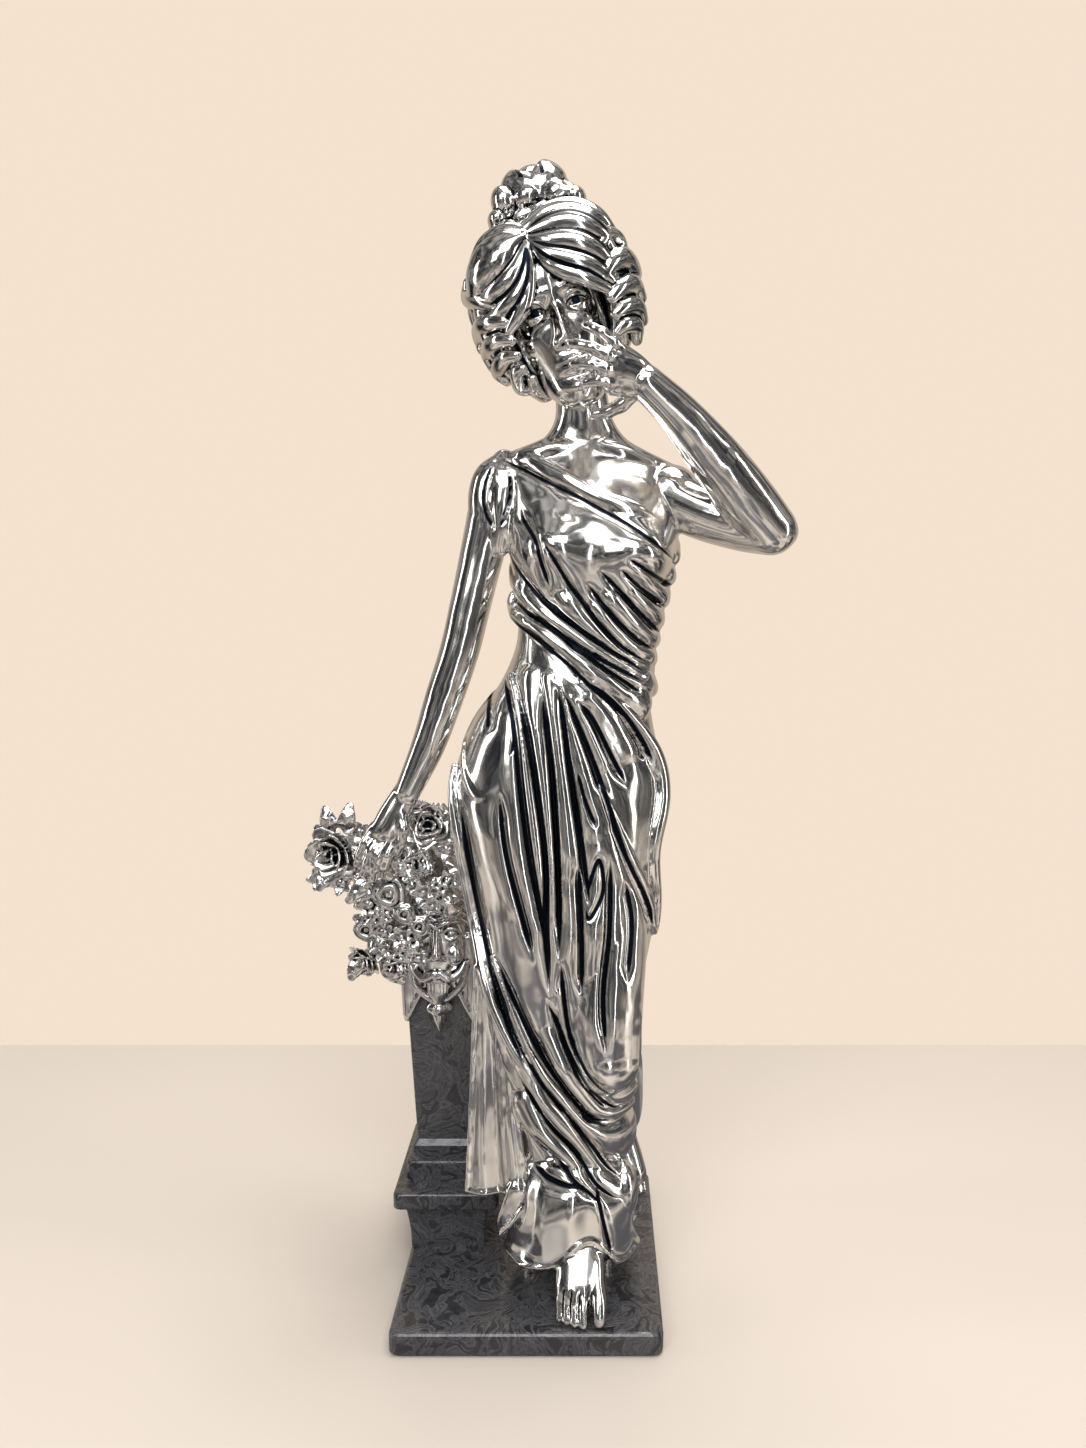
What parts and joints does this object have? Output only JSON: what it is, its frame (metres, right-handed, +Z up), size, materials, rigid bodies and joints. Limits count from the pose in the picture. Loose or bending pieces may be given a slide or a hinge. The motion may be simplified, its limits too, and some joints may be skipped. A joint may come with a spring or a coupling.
{
  "type": "woman statue",
  "caption": "Silver statue of a standing woman in a draped dress, one hand at her cheek and one on flowers that top a low pillar, on a dark marbled stepped plinth.",
  "frame": {"origin": "centre of the plinth's underside", "axes": "+Z up from the plinth to the woman's topknot, -Y the way she faces, +X to her left"},
  "size_m": [0.335, 0.2, 0.7618],
  "materials": {
    "marbled_base": "glossy charcoal resin with a fine marbled swirl",
    "polished_silver": "mirror-bright silver plating with black in the deep folds",
    "shaded_silver": "bright silver plating with dark antique shading between the petals"
  },
  "bodies": {
    "root": {"marbled_base": "marbled_base", "woman_figure": "polished_silver", "flower_bouquet": "shaded_silver"}
  },
  "joints": []
}
